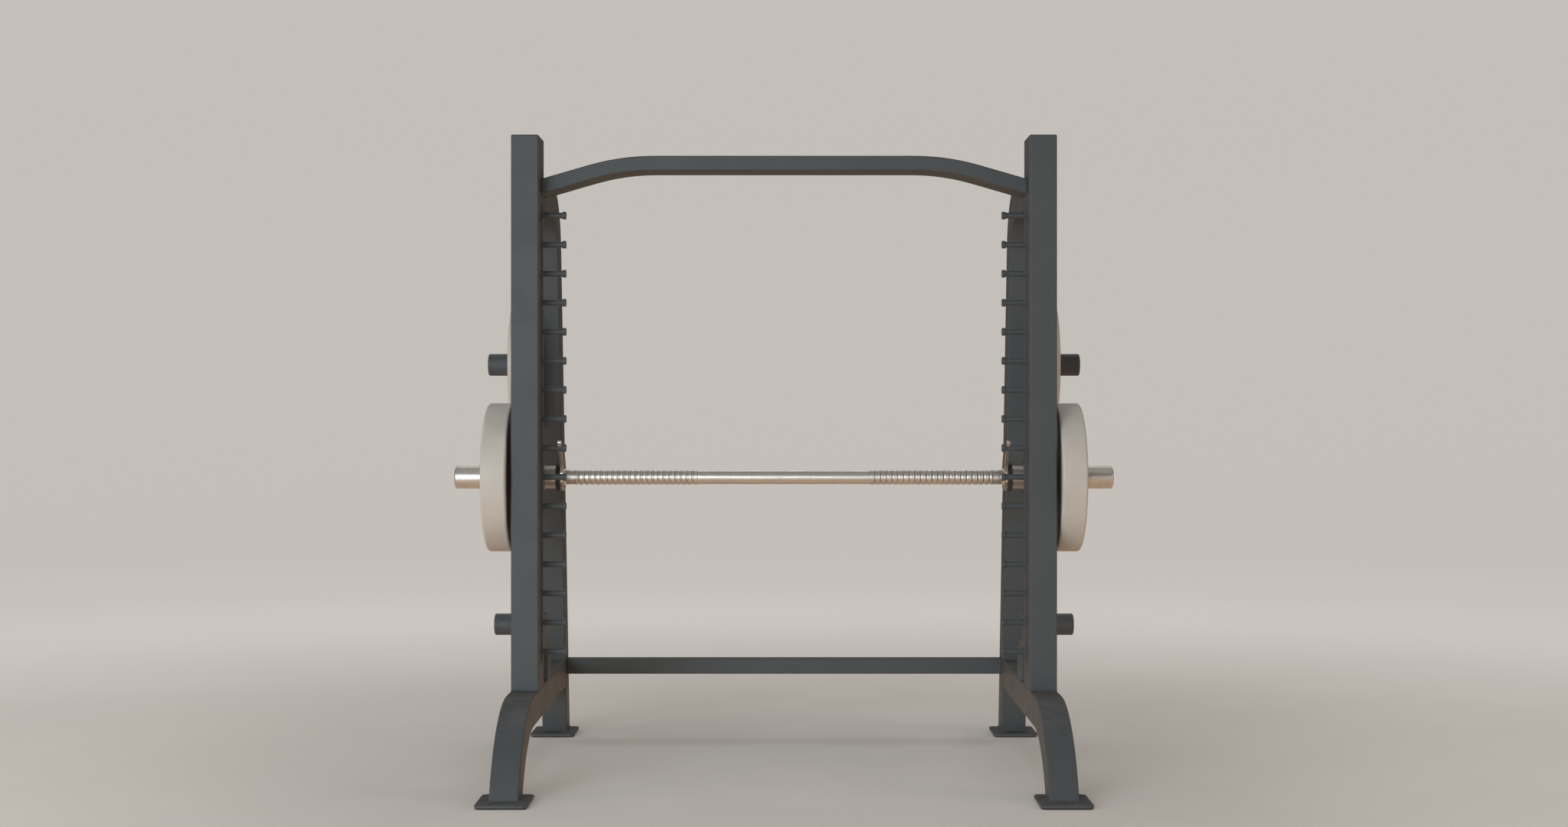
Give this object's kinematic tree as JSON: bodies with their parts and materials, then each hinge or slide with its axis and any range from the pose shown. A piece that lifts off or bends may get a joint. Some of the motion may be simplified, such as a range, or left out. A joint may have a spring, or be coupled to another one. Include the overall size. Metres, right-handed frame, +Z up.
{
  "type": "smith machine",
  "caption": "Floor-standing smith machine: uprights with peg racks, arched top beam, sloping rear legs, a guided hooked barbell with thick plates, and storage horns.",
  "frame": {"origin": "on the floor at the centre of the footprint, with the barbell's axis in the plane Y = 0", "axes": "+X to the user's right along the barbell, +Y towards the rear legs, +Z up"},
  "size_m": [2.204, 1.66, 2.09],
  "materials": {
    "frame_paint": "satin slate-grey powder coat",
    "polished_steel": "polished steel",
    "hook_steel": "satin bright steel plate",
    "dark_metal": "dark satin paint",
    "rubber": "matte black rubber",
    "bushing_polymer": "matte polymer bushing",
    "plate_coating": "matte warm-grey urethane"
  },
  "bodies": {
    "frame": {"upright_left": "frame_paint", "upright_cap_left": "frame_paint", "base_rail_left": "frame_paint", "rear_leg_left": "frame_paint", "peg_rack_left": "frame_paint", "foot_plate_front_left": "frame_paint", "foot_pad_front_left": "rubber", "foot_plate_rear_left": "frame_paint", "foot_pad_rear_left": "rubber", "storage_horn_upper_left": "frame_paint", "storage_horn_lower_left": "frame_paint", "guide_post_left": "frame_paint", "guide_rod_left": "polished_steel", "rod_collar_left": "dark_metal", "upper_buffer_left": "rubber", "stop_bracket_left": "frame_paint", "lower_buffer_left": "rubber", "upright_right": "frame_paint", "upright_cap_right": "frame_paint", "base_rail_right": "frame_paint", "rear_leg_right": "frame_paint", "peg_rack_right": "frame_paint", "foot_plate_front_right": "frame_paint", "foot_pad_front_right": "rubber", "foot_plate_rear_right": "frame_paint", "foot_pad_rear_right": "rubber", "storage_horn_upper_right": "frame_paint", "storage_horn_lower_right": "frame_paint", "guide_post_right": "frame_paint", "guide_rod_right": "polished_steel", "rod_collar_right": "dark_metal", "upper_buffer_right": "rubber", "stop_bracket_right": "frame_paint", "lower_buffer_right": "rubber", "top_crossbar": "frame_paint", "lower_crossbar": "frame_paint"},
    "carriage": {"carriage_left": "dark_metal", "rod_bushing_left": "bushing_polymer", "bar_bearing_left": "polished_steel", "carriage_right": "dark_metal", "rod_bushing_right": "bushing_polymer", "bar_bearing_right": "polished_steel"},
    "barbell": {"grip_bar": "polished_steel", "hook_left": "hook_steel", "hook_collar_left": "dark_metal", "sleeve_left": "polished_steel", "sleeve_flange_left": "polished_steel", "sleeve_cap_left": "polished_steel", "hook_right": "hook_steel", "hook_collar_right": "dark_metal", "sleeve_right": "polished_steel", "sleeve_flange_right": "polished_steel", "sleeve_cap_right": "polished_steel"},
    "plate_left": {"plate_left": "plate_coating"},
    "plate_right": {"plate_right": "plate_coating"},
    "stored_plate_left": {"stored_plate_left": "plate_coating"},
    "stored_plate_right": {"stored_plate_right": "plate_coating"}
  },
  "joints": [
    {"name": "bar_lift", "type": "slide", "parent": "frame", "child": "carriage", "axis": [0, 0, 1], "range_m": [-0.384, 0.768]},
    {"name": "bar_twist", "type": "hinge", "parent": "carriage", "child": "barbell", "pos_m": [0, 0, 0.966], "axis": [1, 0, 0], "range_deg": [-45, 0]},
    {"name": "plate_left_slide", "type": "slide", "parent": "barbell", "child": "plate_left", "axis": [-1, 0, 0], "range_m": [0, 0.1]},
    {"name": "plate_right_slide", "type": "slide", "parent": "barbell", "child": "plate_right", "axis": [1, 0, 0], "range_m": [0, 0.1]},
    {"name": "stored_plate_left_slide", "type": "slide", "parent": "frame", "child": "stored_plate_left", "axis": [-1, 0, 0], "range_m": [0, 0.09]},
    {"name": "stored_plate_right_slide", "type": "slide", "parent": "frame", "child": "stored_plate_right", "axis": [1, 0, 0], "range_m": [0, 0.09]}
  ]
}
